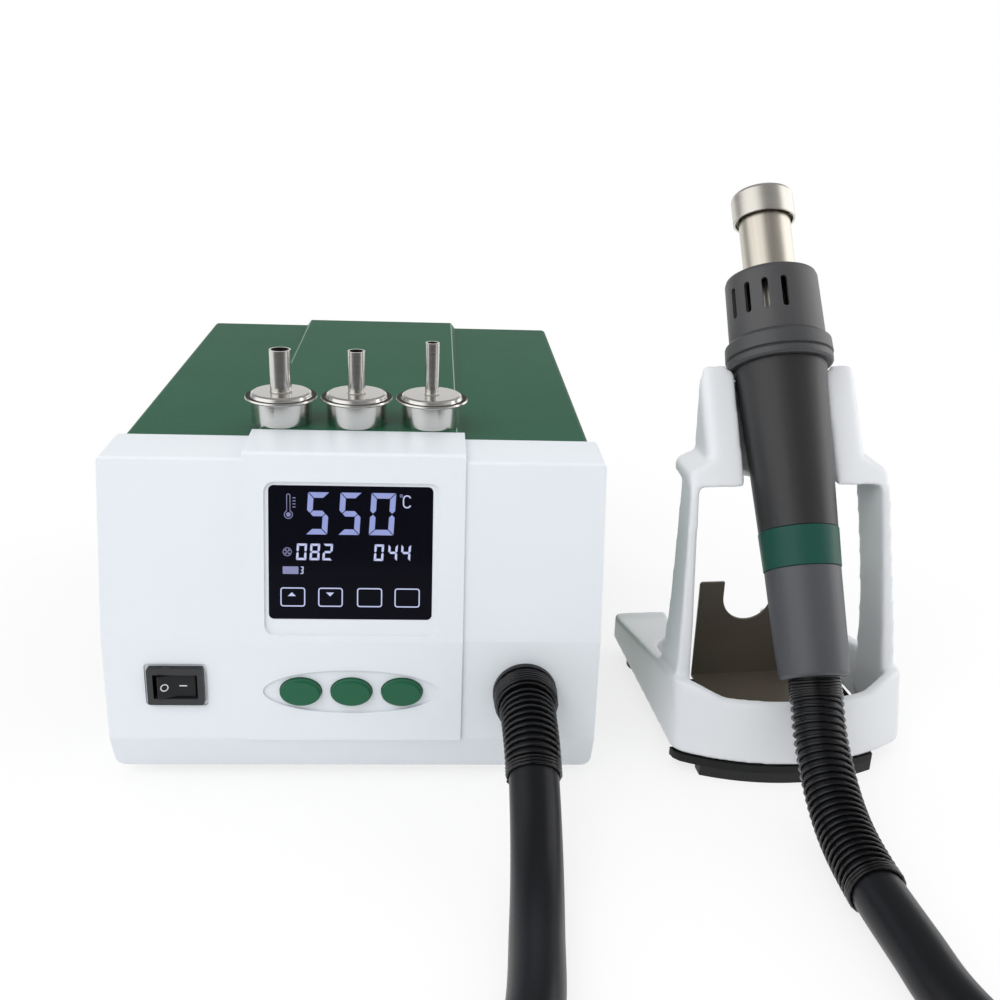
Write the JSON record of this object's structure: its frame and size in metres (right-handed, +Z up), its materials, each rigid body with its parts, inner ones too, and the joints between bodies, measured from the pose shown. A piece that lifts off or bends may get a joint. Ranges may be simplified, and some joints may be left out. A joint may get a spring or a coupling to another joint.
{
  "type": "hot air rework station",
  "caption": "Cased blower and control unit with a hot air gun on a hose, resting in an open bench holder, with spare nozzles on posts on the lid.",
  "frame": {"origin": "middle of the station and its holder on the table, without the hose", "axes": "+X to the right along the front panel, +Y from the panel to the back, +Z up"},
  "size_m": [0.335, 0.6611, 0.2296],
  "materials": {
    "white_plastic": "satin moulded",
    "green_steel": "satin paint",
    "zinc_steel": "zinc plated",
    "screw_steel": "blackened",
    "black_rubber": "matte",
    "display_cover": "glossy, tinted",
    "display_unit": "backlit panel",
    "black_plastic": "glossy",
    "dark_plastic": "matte",
    "green_plastic": "satin",
    "circuit_board": "solder mask",
    "transformer_steel": "varnished laminations",
    "motor_steel": "bare",
    "impeller_plastic": "moulded",
    "duct_foil": "foil",
    "stainless": "turned",
    "hose_rubber": "smooth",
    "spring_steel": "black lacquer",
    "grey_plastic": "matte moulded",
    "charcoal_plastic": "matte moulded",
    "ceramic": "fired ceramic",
    "brown_steel": "dark coat",
    "black_plate": "powder coat"
  },
  "bodies": {
    "bench": {"front_panel": "white_plastic", "top_cover": "green_steel", "chassis_tray": "zinc_steel", "rear_panel": "green_steel", "rubber_feet": "black_rubber", "case_screws": "screw_steel", "display_glass": "display_cover", "display_board": "display_unit", "switch_body": "black_plastic", "button_board": "circuit_board", "main_board": "circuit_board", "transformer": "transformer_steel", "power_inlet": "dark_plastic", "blower_housing": "dark_plastic", "blower_lid": "dark_plastic", "blower_motor": "motor_steel", "air_duct": "duct_foil", "hose_gland": "dark_plastic", "nozzle_posts": "stainless", "station_guard": "spring_steel", "hose": "hose_rubber", "holder_body": "white_plastic", "holder_bracket": "brown_steel", "holder_plate": "black_plate", "holder_pads": "black_rubber", "holder_screws": "screw_steel", "cradle_magnet": "motor_steel"},
    "rocker": {"power_rocker": "black_plastic"},
    "button_1": {"channel_button_1": "green_plastic"},
    "button_2": {"channel_button_2": "green_plastic"},
    "button_3": {"channel_button_3": "green_plastic"},
    "nozzle_large": {"spare_nozzle_large": "stainless"},
    "nozzle_medium": {"spare_nozzle_medium": "stainless"},
    "nozzle_small": {"spare_nozzle_small": "stainless"},
    "gun": {"tail_sleeve": "grey_plastic", "grip_band": "green_plastic", "handle_body": "charcoal_plastic", "handle_board": "circuit_board", "head_collar": "grey_plastic", "head_guard": "charcoal_plastic", "heater_tube": "stainless", "heater_core": "ceramic", "hose_end": "hose_rubber", "gun_guard": "spring_steel"},
    "gun_tip": {"gun_nozzle": "stainless"},
    "impeller": {"blower_impeller": "impeller_plastic"}
  },
  "joints": [
    {"name": "power_rocker_tilt", "type": "hinge", "parent": "bench", "child": "rocker", "pos_m": [-0.13557, -0.12004, 0.0453], "axis": [0, 0, -1], "range_deg": [0, 22]},
    {"name": "button_1_press", "type": "slide", "parent": "bench", "child": "button_1", "axis": [0, 1, 0], "range_m": [0, 0.001], "stiffness_N_per_m": 400, "springref_m": -0.0005},
    {"name": "button_2_press", "type": "slide", "parent": "bench", "child": "button_2", "axis": [0, 1, 0], "range_m": [0, 0.001], "stiffness_N_per_m": 400, "springref_m": -0.0005},
    {"name": "button_3_press", "type": "slide", "parent": "bench", "child": "button_3", "axis": [0, 1, 0], "range_m": [0, 0.001], "stiffness_N_per_m": 400, "springref_m": -0.0005},
    {"name": "nozzle_large_lift", "type": "slide", "parent": "bench", "child": "nozzle_large", "axis": [0, 0, 1], "range_m": [0, 0.03]},
    {"name": "nozzle_medium_lift", "type": "slide", "parent": "bench", "child": "nozzle_medium", "axis": [0, 0, 1], "range_m": [0, 0.03]},
    {"name": "nozzle_small_lift", "type": "slide", "parent": "bench", "child": "nozzle_small", "axis": [0, 0, 1], "range_m": [0, 0.03]},
    {"name": "gun_lift", "type": "slide", "parent": "bench", "child": "gun", "axis": [-0.0529, 0.5494, 0.8339], "range_m": [0, 0.04]},
    {"name": "gun_tip_pull", "type": "slide", "parent": "gun", "child": "gun_tip", "axis": [-0.0529, 0.5494, 0.8339], "range_m": [0, 0.02]},
    {"name": "impeller_spin", "type": "hinge", "parent": "bench", "child": "impeller", "pos_m": [-0.03917, 0.04236, 0.04], "axis": [0, 0, 1], "continuous": true}
  ]
}
